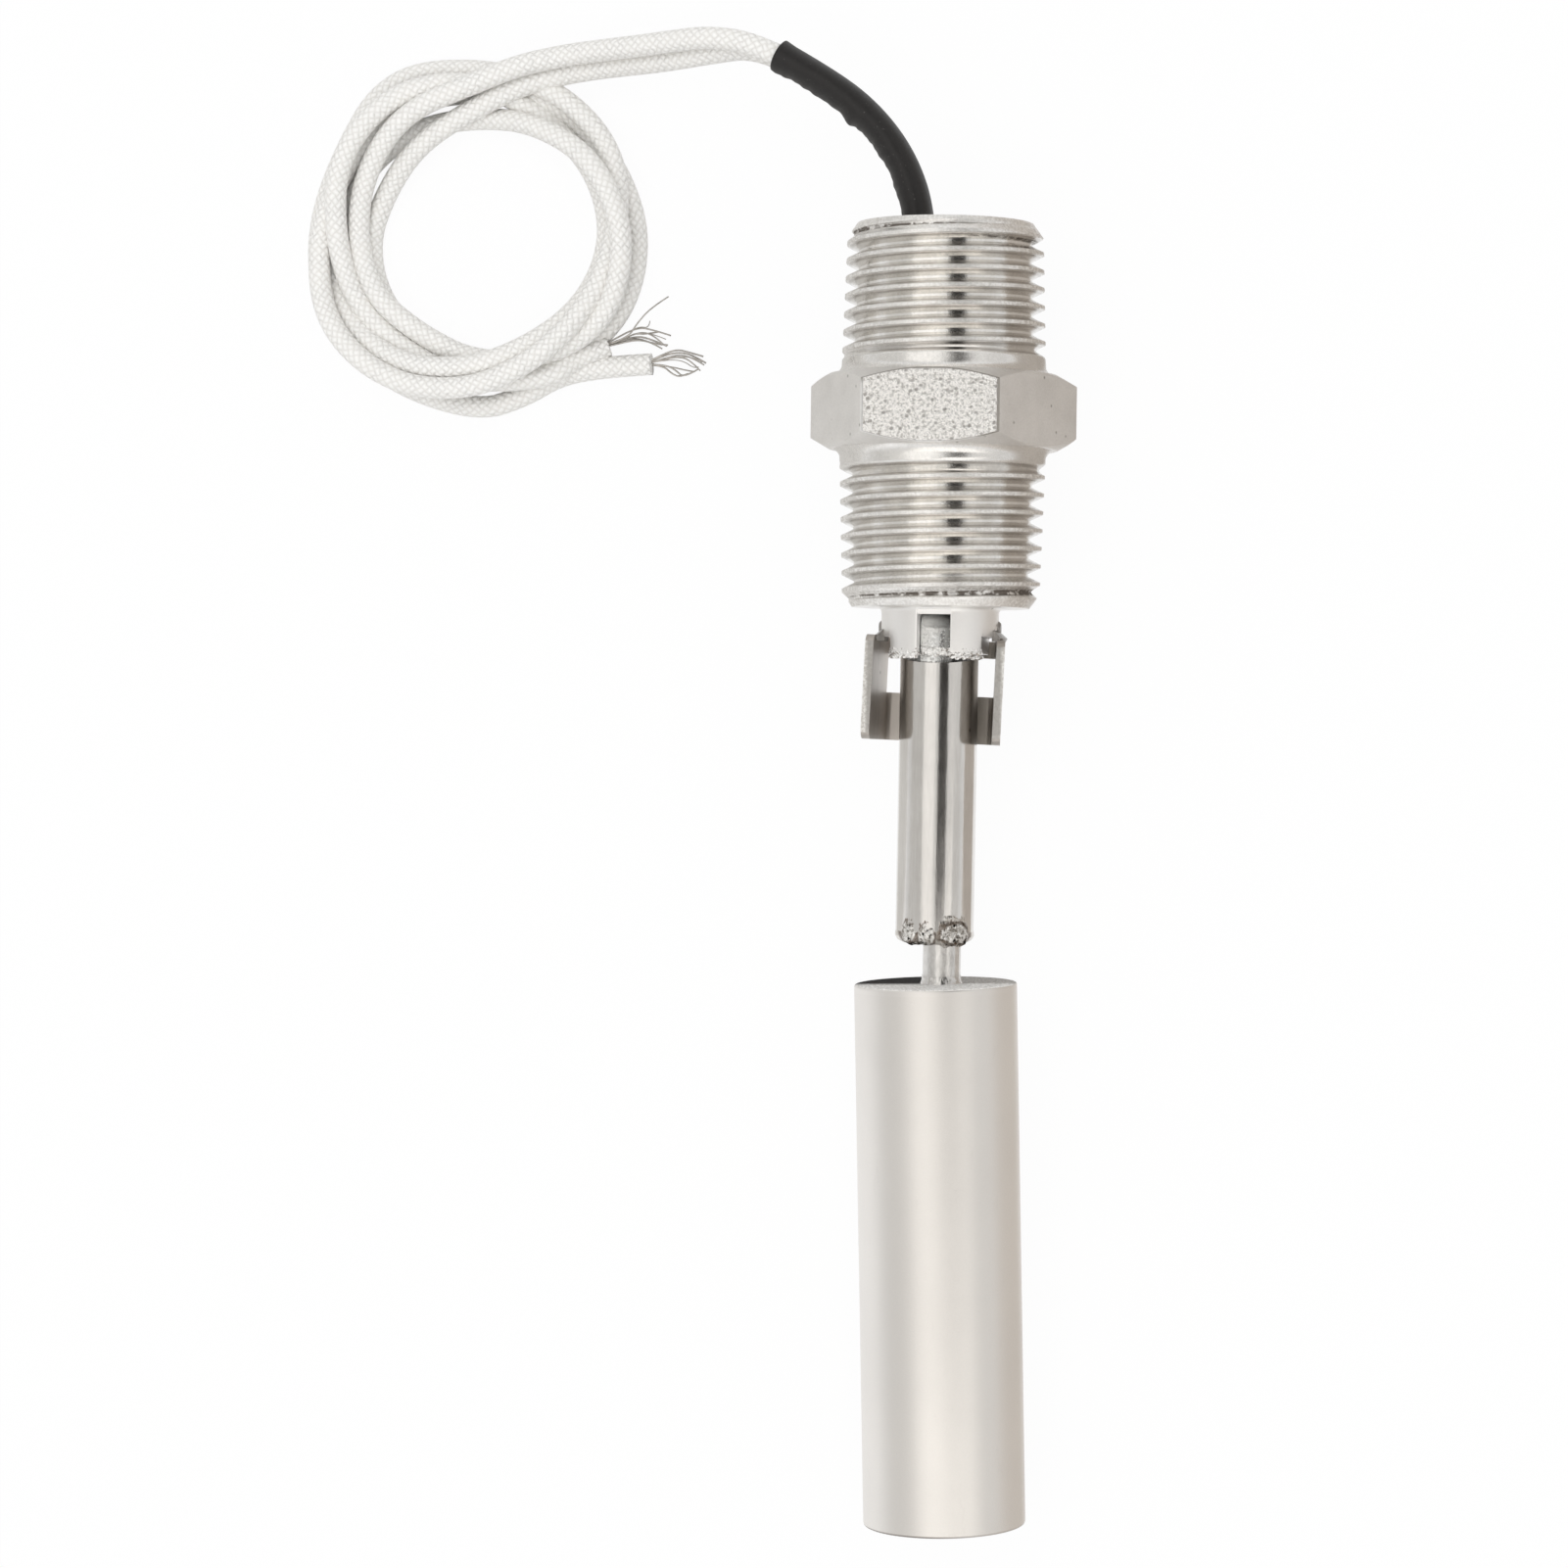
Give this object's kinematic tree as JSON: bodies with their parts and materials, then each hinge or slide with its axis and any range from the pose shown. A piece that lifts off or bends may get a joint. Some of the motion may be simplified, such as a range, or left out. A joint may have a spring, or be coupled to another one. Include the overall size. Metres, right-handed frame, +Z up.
{
  "type": "side mount float switch",
  "caption": "Side mount level switch: threaded steel nipple with hexagon, forked boss, stop bracket, pivoting arm with a long cylindrical float, and coiled braided leads.",
  "frame": {"origin": "on the axis of the nipple, at the tank-side face of its hexagon", "axes": "+X along the nipple's axis into the tank, towards the float; +Z up, square to the hexagon flat that the switch lies on; +Y completes the right hand"},
  "size_m": [0.1541, 0.0829, 0.0238],
  "materials": {
    "stainless_body": "cast and turned stainless steel, fine etched grain",
    "stainless_sheet": "folded stainless sheet, dull",
    "weld_metal": "rough weld with brown heat tint",
    "stainless_pin": "plain drawn pin",
    "stainless_tube": "satin drawn tube",
    "float_satin": "fine satin float",
    "reed_glass": "sealed glass capsule",
    "reed_metal": "nickel iron blades",
    "jacket_soft": "soft silicone sleeve",
    "crimp_tin": "tinned ferrule",
    "bare_wire": "bare stranded wire, dulled",
    "potting_resin": "black cast resin",
    "shrink_black": "black heat-shrink tube",
    "braid_white": "varnished glass-fibre braid",
    "magnet_alloy": "ground magnet alloy",
    "carrier_plastic": "moulded carrier"
  },
  "bodies": {
    "housing": {"nipple_body": "stainless_body", "stop_bracket": "stainless_sheet", "bracket_weld_left": "weld_metal", "bracket_weld_right": "weld_metal", "hinge_pin": "stainless_pin", "reed_glass": "reed_glass", "reed_blade_front": "reed_metal", "reed_blade_rear": "reed_metal", "reed_jacket": "jacket_soft", "crimp_a": "crimp_tin", "crimp_b": "crimp_tin", "conductor_a": "bare_wire", "conductor_b": "bare_wire", "potting": "potting_resin", "shrink_sleeve": "shrink_black", "lead_a_run": "braid_white", "lead_b_run": "braid_white", "lead_coil": "braid_white", "lead_b_tail": "braid_white", "strands_a": "bare_wire", "strands_b": "bare_wire"},
    "float_arm": {"arm_knuckle": "stainless_tube", "arm_tube": "stainless_tube", "arm_magnet": "magnet_alloy", "magnet_carrier": "carrier_plastic", "tube_end_plug": "stainless_tube", "tube_end_weld": "weld_metal", "float_rod": "stainless_tube", "rod_weld": "weld_metal", "float_shell": "float_satin", "float_top_cap": "float_satin", "float_bottom_cap": "float_satin"}
  },
  "joints": [
    {"name": "arm_pivot", "type": "hinge", "parent": "housing", "child": "float_arm", "pos_m": [0.0182, 0, 0], "axis": [0, -1, 0], "range_deg": [-6.3, 10.5]}
  ]
}
